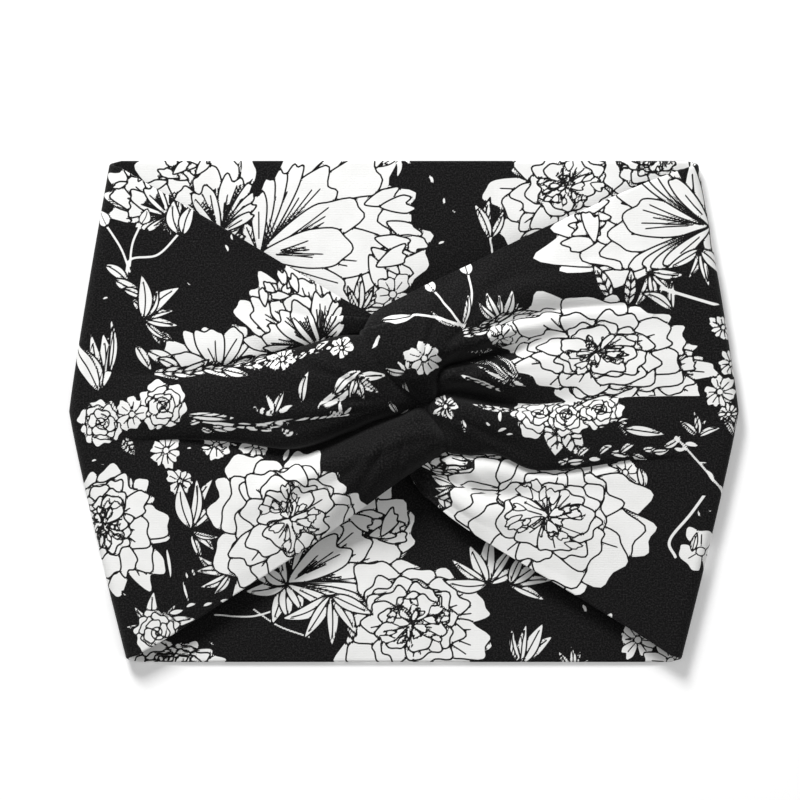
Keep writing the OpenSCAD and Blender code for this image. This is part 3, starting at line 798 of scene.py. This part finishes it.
def right_flowers(c):
    """The face print of the right half."""
    leaf_fan(c, 106, 63, 28, 104, 6, WRAP, 14, 66)
    cup_rose(c, 110, 66, 58, 175, WRAP, 15, 0.52)
    leaf_fan(c, 106, 58, 15, -95, 4, WRAP, 16, 110)
    leaf_fan(c, 88, 50, 14, -60, 4, WRAP, 17, 110)
    leaf(c, 74, 40, 14, 118, WRAP, 0.34, 3, 18)
    leaf(c, 80, 38, 13, 85, WRAP, 0.34, 3, 19)
    bud(c, [(21, 29), (16, 36), (11, 42)], 5, WRAP, 20)
    bud(c, [(21, 29), (24, 40), (23, 49)], 6, WRAP, 21)
    leaf(c, 20, 29, 14, 78, WRAP, 0.16, 0, 30)
    leaf(c, 20, 30, 13, 152, WRAP, 0.16, 0, 31)
    leaf(c, -8, 32, 13, 8, WRAP, 0.28, 0, 22)
    stem(c, [(4, 34), (12, 33), (21, 30)], WRAP, 0.35)
    leaf_fan(c, 34, 31, 13, 80, 6, WRAP + PLEAT, 23, 110)
    leaf_row(c, 20, 28, 44, 32, 9, WRAP + PLEAT, 10, 24)
    peony(c, 90, 13, 24, WRAP + PLEAT + MIDDLE, 25, 0.6, 20, (-0.1, 0.1))
    peony(c, 67, 23, 36, WRAP + PLEAT + MIDDLE, 125, 0.6, 20, (0.05, -0.05), 0.22)
    blossom(c, 34, 27, 5, PLEAT, 26)
    leaf_fan(c, 96, 36, 12, 120, 3, WRAP + PLEAT, 27, 60)
    stem(c, [(92, 44), (102, 41), (112, 38)], WRAP, 0.5)
    for k, (x, y, r) in enumerate(((114, 30, 5), (117, 17, 5), (113, 7, 6), (116, -1, 4))):
        blossom(c, x, y, r, None, 81 + k, 6)
    leaf_fan(c, 1, 14, 8, 115, 4, PLEAT + MIDDLE + WRAP, 28, 100)
    blossom(c, 7, 19, 6, PLEAT + MIDDLE + WRAP, 29)
    leaf(c, -11, 22, 7, 62, PLEAT + MIDDLE + WRAP, 0.26, 0, 33)
    leaf(c, 0, 12, 11, -62, PLEAT + MIDDLE + FOLD, 0.26, 0, 34)
    for k in range(4):
        leaf(c, 41 + k, 9, 24 - 2 * k, 148 + 5 * k, MIDDLE + PLEAT, 0.11, 0, 35 + k)
        leaf(c, 42 - k, 10, 17, 124 + 5 * k, MIDDLE + PLEAT, 0.12, 0, 135 + k)
    leaf(c, 37, 6, 20, 158, MIDDLE, 0.11, 0, 39)
    blossom(c, 15, 1.5, 4, FOLD, 91, 7)
    leaf(c, 39, 1.5, 16, 172, FOLD, 0.3, 3, 92)
    leaf(c, 52, -3, 13, -82, FOLD, 0.72, 3, 93)
    leaf(c, 58, -4, 14, -64, FOLD, 0.55, 3, 94)
    rose(c, 48, 0, 11, FOLD, 95, 0.85)
    rose(c, 58, -1, 8, FOLD, 96)
    rose(c, 70, 0.5, 9, FOLD, 97, 0.8)
    leaf_fan(c, 76, -4, 6, -20, 4, FOLD, 98, 70)
    leaf(c, 78, -6, 16, -8, FOLD, 0.24, 0, 99)
    leaf_fan(c, 105, -9, 9, 80, 4, FOLD, 100, 120)
    leaf_fan(c, 118, -9, 9, 80, 3, FOLD, 101, 80)
    leaf_row(c, 54, -18, 100, -12, 13, FOLD + STRIP, 7, 102)
    flecks(c, [(20, -3), (22, -6), (31, -5), (33, -7), (36, -8), (34, -4)], FOLD, 4)
    peony(c, 27, -19, 22, STRIP + SKIRT, 103, 0.3, 0, (0.0, 0.0), 0.2, 3)
    leaf_row(c, 5, -18, 14, -22, 3, STRIP + SKIRT, 8, 104)
    leaf_fan(c, 20, -27, 12, 190, 4, SKIRT, 105, 60)
    leaf(c, 12, -31, 13, -28, SKIRT, 0.5, 3, 106)
    blossom(c, 79, -22, 6, SKIRT + STRIP, 107, 4)
    leaf(c, 84, -20, 9, -80, SKIRT + STRIP, 0.4, 0, 108)
    leaf_row(c, 104, -16, 117, -30, 4, SKIRT + STRIP, 5, 109)
    stem(c, [(113, -22), (103, -36), (95, -46), (97, -52)], SKIRT, 0.5)
    stem(c, [(97, -9), (107, -20), (115, -30)], SKIRT + STRIP + FOLD)
    blossom(c, 106, -50, 8, SKIRT, 110, 3)
    leaf(c, 103, -50, 7, 75, SKIRT, 0.34, 0, 109)
    flecks(c, [(97, -22), (106, -38), (110, -36), (70, -78)], SKIRT)
    peony(c, 50, -42, 38, SKIRT + STRIP, 111, 0.86, 0, (0.04, 0.12))
    blossom(c, 70, -79, 7, SKIRT, 112, 6)


def lining_flowers(c):
    """The print of the inner side of the back half, which shows above and below the knot."""
    cup_rose(c, -52, 56, 62, 12, None, 201, 0.9)
    leaf_fan(c, -64, 72, 26, 128, 6, None, 202, 80)
    cup_rose(c, -66, 64, 36, 118, None, 203)
    leaf_fan(c, -2, 92, 9, -95, 3, None, 204)
    peony(c, 57, 78, 28, None, 205, 0.85, 15, (0.05, 0.1))
    peony(c, 92, 92, 20, None, 206, 0.7)
    leaf_fan(c, 31, 62, 14, 90, 3, None, 207, 50)
    stem(c, [(31, 62), (32, 56), (34, 50)], None)
    flecks(c, [(9, 85), (15, 74), (19, 71), (12, 60), (44, 64)], None, 3.4)
    leaf_fan(c, 42, 62, 10, -40, 3, None, 208)
    leaf_fan(c, -16, 36, 13, 60, 5, None, 209)
    blossom(c, -4, 42, 7, None, 210)
    rose(c, -112, 30, 9, None, 211)
    stem(c, [(-68, -73), (-54, -73.5), (-40, -69)], None, 0.3)
    stem(c, [(-54, -71), (-45, -77), (-34, -81)], None, 0.3)
    cup_rose(c, -42, -62, 52, 40, None, 221, 0.75)
    peony(c, 3, -78, 31, None, 222, 0.85, 0, (0.0, 0.05))
    leaf_fan(c, -26, -66, 19, -90, 5, None, 223, 130)
    leaf_fan(c, 30, -62, 19, 100, 6, None, 224, 150)
    leaf_fan(c, 38, -62, 15, 20, 4, None, 225, 90)
    leaf_fan(c, 42, -91, 16, 72, 4, None, 226, 60)
    leaf_fan(c, 60, -94, 11, 80, 4, None, 242, 80)
    blossom(c, 84, -82, 7, None, 227, 6)
    blossom(c, 96, -90, 9, None, 228, 6)
    peony(c, -82, -92, 20, None, 229, 0.6)
    flecks(c, [(64, -69), (44, -54), (-68, -84), (78, -60)], None, 3.4)
    # under the front half, out of sight until the band is opened
    peony(c, -88, 2, 22, None, 231)
    leaf_fan(c, -58, 2, 17, 200, 6, None, 232, 300)
    rose(c, -44, 4, 11, None, 233)
    peony(c, 0, 4, 18, None, 234)
    leaf_fan(c, 30, 2, 16, 20, 6, None, 235, 300)
    cup_rose(c, 54, -10, 34, 55, None, 236, 0.9)
    blossom(c, 44, 18, 7, None, 237)
    peony(c, 98, -8, 20, None, 238)
    leaf_fan(c, -70, -34, 15, 20, 6, None, 239, 260)
    blossom(c, 90, 36, 8, None, 240)


def unseen_flowers(c, seed):
    """The same kind of print where the cloth lies on the table or faces the head: flowers on a loose
    grid, each moved and turned a little."""
    rng = np.random.default_rng(seed)
    for k, x in enumerate(np.arange(-110, 111, 55)):
        for m, y in enumerate(np.arange(-70, 71, 47)):
            px, py = x + rng.uniform(-9, 9), y + rng.uniform(-8, 8) + (k % 2) * 16
            leaf_fan(c, px + 14, py - 12, 17, rng.uniform(0, 360), 6, None, seed + 7 * k + m, 300)
            kind = (k + 2 * m) % 3
            if kind == 0:
                peony(c, px, py, rng.uniform(20, 26), None, seed + 11 * k + m)
            elif kind == 1:
                rose(c, px, py, 11, None, seed + 13 * k + m)
                blossom(c, px + 16, py + 9, 6, None, seed + 17 * k + m)
            else:
                cup_rose(c, px - 12, py - 8, 34, rng.uniform(0, 360), None, seed + 19 * k + m)
            bud(c, [(px + 20, py + 14), (px + 24, py + 20), (px + 24, py + 27)], 6, None, seed + k)
            flecks(c, rng.uniform(-24, 24, (4, 2)) + [px, py], None, 3, seed + m)


def printed(cloth, zone, *drawings):
    """Cloth coordinates with the distances that the drawings leave on them."""
    canvas = Print(cloth, zone)
    for draw in drawings:
        draw(canvas)
    return cloth, canvas.white.reshape(canvas.shape), canvas.ink.reshape(canvas.shape)


# ---------------------------------------------------------------- shader expressions
class Sum:
    """Wraps a node socket, so that shader maths reads as an expression."""

    def __init__(self, tree, socket):
        """socket is an output of a node in the tree."""
        self.tree, self.socket = tree, socket

    def other(self, output):
        """Another output of the same node."""
        return Sum(self.tree, self.socket.node.outputs[output])

    def math(self, operation, *values):
        """A Math node on numbers and other sums."""
        node = self.tree.nodes.new("ShaderNodeMath")
        node.operation = operation
        for k, value in enumerate(values):
            if isinstance(value, Sum):
                self.tree.links.new(value.socket, node.inputs[k])
            else:
                node.inputs[k].default_value = value
        return Sum(self.tree, node.outputs[0])

    def __add__(self, other):
        return self.math("ADD", self, other)

    def __sub__(self, other):
        return self.math("SUBTRACT", self, other)

    def __rsub__(self, other):
        return self.math("SUBTRACT", other, self)

    def __mul__(self, other):
        return self.math("MULTIPLY", self, other)

    __radd__, __rmul__ = __add__, __mul__

    def step(self, low, high):
        """0 where the value is under low, 1 where it is over high, smooth between."""
        node = self.tree.nodes.new("ShaderNodeMapRange")
        node.interpolation_type = "SMOOTHSTEP"
        for k, value in enumerate((self, low, high, 0.0, 1.0)):
            if isinstance(value, Sum):
                self.tree.links.new(value.socket, node.inputs[k])
            else:
                node.inputs[k].default_value = value
        return Sum(self.tree, node.outputs[0])


class Shader:
    """A material's node tree, with one method that makes any node."""

    def __init__(self, name):
        """Starts a material that has only its Principled shader."""
        self.material = bpy.data.materials.new(name)
        self.material.use_nodes = True
        self.tree = self.material.node_tree
        self.principled = self.tree.nodes["Principled BSDF"]

    def node(self, kind, output, settings, **inputs):
        """Makes a node: settings first, then the values or links of its named sockets, where _6 is
        the socket with that number."""
        node = self.tree.nodes.new(kind)
        for key, value in (settings or {}).items():
            setattr(node, key, value)
        for key, value in inputs.items():
            socket = node.inputs[int(key[1:]) if key[0] == "_" else key]
            if isinstance(value, Sum):
                self.tree.links.new(value.socket, socket)
            else:
                socket.default_value = value
        return Sum(self.tree, node.outputs[output])

    def attribute(self, name, output):
        """One output of a mesh attribute."""
        return self.node("ShaderNodeAttribute", output, {"attribute_name": name})

    def mix(self, share, one, other):
        """A colour between two colours."""
        return self.node("ShaderNodeMix", 2, {"data_type": "RGBA"}, _0=share, _6=one, _7=other)

    def set(self, **inputs):
        """Sets or links the Principled shader's sockets, with _ for the spaces in their names."""
        for key, value in inputs.items():
            socket = self.principled.inputs[key.replace("_", " ")]
            if isinstance(value, Sum):
                self.tree.links.new(value.socket, socket)
            else:
                socket.default_value = value


BLACK = (0.0040, 0.0039, 0.0041, 1)
BLACK_WORN = (0.0290, 0.0282, 0.0284, 1)
WHITE = (0.87, 0.87, 0.86, 1)
WHITE_SOFT = (0.77, 0.77, 0.755, 1)
WALE = 0.62        # distance between the knit's ribs
COURSE = 0.47      # distance between its rows
SOFT = 0.08        # half the width over which a printed edge fades
REACH_SOFT = 0.06  # the same where a false line is cut off
BLEED = 0.10       # how far the print's edges wander


def printed_jersey():
    """Fine jersey with a white print: the attributes white and ink hold distances in millimetres,
    which are cut off sharply here, so an edge stays crisp between points of the mesh. The black has
    grain and lint, the white soft blotches, and the bump is the knit's ribs and rows."""
    s = Shader("printed_jersey")
    cloth = s.attribute("cloth", 1)
    grain = s.node("ShaderNodeTexNoise", 0, None, Vector=cloth, Scale=1.7, Detail=3.0, Roughness=0.65)
    blotch = s.node("ShaderNodeTexNoise", 0, None, Vector=cloth, Scale=0.09, Detail=3.0)
    lint = s.node("ShaderNodeTexNoise", 0, None, Vector=cloth, Scale=0.9, Detail=1.0)
    bleed = (grain - 0.5) * BLEED
    inside = 1 - (s.attribute("white", 2) + bleed).step(-SOFT, SOFT)
    ink = s.attribute("ink", 2)
    off_line = (ink.math("ABSOLUTE", ink) + bleed).step(LINE - SOFT, LINE + SOFT)
    # ink also changes its sign half-way between two lines, where no point of the mesh is near one
    no_line = s.attribute("ink_reach", 2).step(REACH - REACH_SOFT, REACH + REACH_SOFT)
    open_white = off_line.math("MAXIMUM", off_line, no_line)
    white = inside * open_white
    speck = s.node("ShaderNodeTexNoise", 0, None, Vector=cloth, Scale=1.75, Detail=2.0, Roughness=0.8)
    dark = s.mix(speck.step(0.42, 0.68) * 0.75 + lint.step(0.72, 0.8) * 0.9, BLACK, BLACK_WORN)
    light = s.mix(blotch.step(0.35, 0.7) * 0.5 + grain.step(0.5, 0.8) * 0.35, WHITE, WHITE_SOFT)
    u = s.node("ShaderNodeSeparateXYZ", 0, None, Vector=cloth)
    v = u.other(1)
    rib = v.math("SINE", v * (2 * np.pi / WALE))
    loop = u.math("SINE", u * (2 * np.pi / COURSE))
    height = rib * 0.16 + loop * 0.12 + grain * 1.6 - white * 0.1
    normal = s.node("ShaderNodeBump", 0, None, Height=height, Strength=0.35, Distance=0.0002)
    s.set(Base_Color=s.mix(white, dark, light), Roughness=0.9, Normal=normal,
          Specular_IOR_Level=0.08, Sheen_Weight=0.07, Sheen_Roughness=0.45)
    return s.material


def pale_table():
    """Plain matt white that glows a little, as a lit table does."""
    s = Shader("pale_table")
    s.set(Base_Color=(0.93, 0.93, 0.93, 1), Roughness=0.9, Specular_IOR_Level=0.0,
          Emission_Color=(1, 1, 1, 1), Emission_Strength=0.16)
    return s.material


# ---------------------------------------------------------------- the pieces
CLOTH = printed_jersey()
ONE_ZONE = np.zeros(len(Q), int)
UNDER_BOLD = 1.4                                # how much bolder lines are on an under side
END_SHARES = np.array([0.99, 0.87, 0.6, 0.3])   # rows of a half-round end, as shares of its radius
BACK_SEED, FRONT_SEED = 300, 500                # the unseen prints under the back and under the front
LIFT = 0.2                                      # height of the slow waves in the back half


def layered(first, second, rows):
    """The first print, with the second one showing through its black on some rows."""
    cloth, white, ink = (a.copy() for a in first)
    black = white[rows] > 0
    white[rows] = np.where(black, second[1][rows], white[rows])
    ink[rows] = np.where(black, second[2][rows], ink[rows])
    return cloth, white, ink


def lining_print(cloth):
    """The lining's print at points of the cloth."""
    return printed(cloth, ONE_ZONE, lining_flowers)


def unseen_print(points, seed):
    """Drawn with bolder lines, because the points of an under side lie further apart."""
    cloth, white, ink = printed(points[..., :2], ONE_ZONE, lambda c: unseen_flowers(c, seed))
    return cloth, white, ink / UNDER_BOLD


def flat_back(xs):
    """The back half's cloth at distances xs. It lies flat, lifted a little by slow waves
    1 + sin(x) cos(y), which die away at its edges, at the side pieces and at its right crease."""
    x, y = np.broadcast_arrays(xs[:, None], FLAT_Y[None])
    lift = LIFT * (1 + np.sin(x / 19.0) * np.cos(y / 23.0 + 0.7)) * smooth(0, 10, EDGE)
    lift = lift * smooth(JOIN_X - 1, JOIN_X - 16, np.abs(x)) * smooth(2, 16, np.abs(x - BEND_X))
    return np.stack([x, y, BACK_Z + lift], axis=-1)


def back_piece(name, x0, x1, spacing, step):
    """The back half from x0 down to x1, lining up. The end at the right crease is half round, about
    the line on which the two pieces turn, so that no gap opens between them."""
    count = 2 * round((x0 - x1) / spacing / 2)
    xs = np.linspace(x0, x1, count + 1)
    taper = np.ones(count + 1)
    round_off = np.sqrt(1 - END_SHARES ** 2)
    if x0 == BEND_X:
        xs = np.concatenate([x0 + HALF_T * END_SHARES, xs])
        taper = np.concatenate([round_off, taper])
    else:
        xs = np.concatenate([xs, x1 - HALF_T * END_SHARES[::-1]])
        taper = np.concatenate([taper, round_off[::-1]])
    xs = np.concatenate([[2 * xs[0] - xs[1]], xs, [2 * xs[-1] - xs[-2]]])
    middle = flat_back(xs)
    inside = middle[1:-1]
    return build(name, middle, step, taper, lining_print(inside[..., :2]),
                 unseen_print(inside, BACK_SEED))


def side_piece(name, half, spacing):
    """From the back half, round a side fold, to the front: a flat stretch out to the fold line, half
    a circle round it, then the beginning of the front half's surface."""
    side = half.side
    line = fold_line(FLAT_Y)
    back_n = round(SIDE_RUN / spacing)
    t = np.arange(-1, back_n)[:, None] / back_n
    x = side * (JOIN_X + (line - JOIN_X) * t)
    back = np.stack([x, np.broadcast_to(FLAT_Y, x.shape), np.full(x.shape, BACK_Z)], axis=-1)
    bend_n = round(np.pi * FOLD_R / spacing)
    share = np.arange(bend_n)[:, None] / bend_n
    angle = np.pi * (share - 0.5)
    bend = np.stack([side * (line + FOLD_R * np.cos(angle)), FLAT_Y * (1 + (SKEW - 1) * share),
                     np.broadcast_to(FOLD_Z + FOLD_R * np.sin(angle), (bend_n, len(Q)))], axis=-1)
    front_n = round(half.s_join / spacing)
    front = gathered(half.points(half.s_join * np.arange(front_n + 2) / front_n), side)
    middle = np.concatenate([back, bend, front])
    inside = middle[1:-1]
    turned = back_n + bend_n
    # The face's print carries on from the front half, round the fold and under the back.
    face = half.cloth(inside)
    face[:back_n, :, 0] = side * (2 * line + np.pi * FOLD_R) - inside[:back_n, :, 0]
    face[back_n:turned, :, 0] = side * (line + FOLD_R * np.pi * (1 - share))
    face[:turned, :, 1] = inside[:turned, :, 1]
    face_print = layered(printed(face, half.zone(), half.flowers), unseen_print(inside, BACK_SEED),
                         slice(0, back_n))
    # The lining's carries on from the back half, round the fold and over it.
    lining = inside[..., :2].copy()
    lining[back_n:turned, :, 0] = side * (line + FOLD_R * np.pi * share)
    lining[turned:, :, 0] = side * (2 * line + np.pi * FOLD_R) - inside[turned:, :, 0]
    lining_side = layered(lining_print(lining), unseen_print(inside, FRONT_SEED), slice(turned, None))
    over, under = (face_print, lining_side) if side > 0 else (lining_side, face_print)
    return build(name, middle, 1, np.ones(len(inside)), over, under)


def front_piece(name, half, spacing):
    """One half of the front, from its side piece to the end of the cloth inside the knot."""
    count = 2 * round((half.s_end - half.s_join) / spacing / 2)
    s = half.s_join + (half.s_end - half.s_join) / count * np.arange(-1, count + 1)
    middle = gathered(half.points(s), half.side)
    middle = np.concatenate([middle, 2 * middle[-1:] - middle[-2:-1]])
    face = half.cloth(middle[1:-1])
    if half.side < 0:       # from the knot outwards, so that its face is on top
        middle, face = middle[::-1], face[::-1]
    face_print = printed(face, half.zone(), half.flowers)
    return build(name, middle, 2, np.ones(count + 1), face_print,
                 unseen_print(middle[1:-1], FRONT_SEED))


LEFT.flowers, RIGHT.flowers = left_flowers, right_flowers

back_middle = back_piece("back_cloth", BEND_X, -JOIN_X, 0.64, 2)
back_right = back_piece("right_back_cloth", JOIN_X, BEND_X, 0.6, 2)
left_side = side_piece("left_side_cloth", LEFT, 0.52)
right_side = side_piece("right_side_cloth", RIGHT, 0.52)
left_front = front_piece("left_front_cloth", LEFT, 0.46)
right_front = front_piece("right_front_cloth", RIGHT, 0.46)


# The back bends outside its hinge only, so that no part of it dips into the table.
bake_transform(back_middle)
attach(back_right, "back_right")
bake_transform(left_side)
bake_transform(right_side)
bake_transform(left_front)
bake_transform(right_front)

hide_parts("back_face", "back_lining", "back_stitching",
            "left_back_face", "left_back_lining", "left_back_stitching")
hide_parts("right_back_face", "right_back_lining", "right_back_stitching")
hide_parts("left_fold_face", "left_fold_lining", "left_fold_stitching")
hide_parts("right_fold_face", "right_fold_lining", "right_fold_stitching")
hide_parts("left_front_face", "left_front_lining", "left_front_stitching",
            "left_gather_face", "left_gather_lining", "left_gather_stitching", "left_knot_hook")
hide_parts("right_front_face", "right_front_lining", "right_front_stitching",
            "right_gather_face", "right_gather_lining", "right_gather_stitching", "right_knot_hook",
            "knot_seam")


# ---------------------------------------------------------------- table and light
def make_table():
    """A wide pale table top, at the height on which the band lies."""
    mesh = bpy.data.meshes.new("table_top")
    mesh.from_pydata([(-2, -2, 0), (2, -2, 0), (2, 2, 0), (-2, 2, 0)], [], [(0, 1, 2, 3)])
    mesh.materials.append(pale_table())
    table = bpy.data.objects.new("table_top", mesh)
    bpy.context.scene.collection.objects.link(table)


def soft_light(name, place, size, watts):
    """A square lamp that faces the band."""
    data = bpy.data.lights.new(name, "AREA")
    data.size, data.energy = size, watts
    lamp = bpy.data.objects.new(name, data)
    lamp.location = place
    lamp.rotation_euler = (-Vector(place)).to_track_quat("-Z", "Y").to_euler()
    bpy.context.scene.collection.objects.link(lamp)


make_table()
soft_light("key_light", (-0.38, 0.95, 0.78), 0.4, 18.5)
soft_light("fill_light", (0.6, -0.3, 1.2), 0.8, 3.5)
world = bpy.data.worlds.new("studio")
world.use_nodes = True
world.node_tree.nodes["Background"].inputs["Color"].default_value = (1, 1, 1, 1)
world.node_tree.nodes["Background"].inputs["Strength"].default_value = 0.25
bpy.context.scene.world = world
bpy.context.scene.view_settings.view_transform = "Standard"
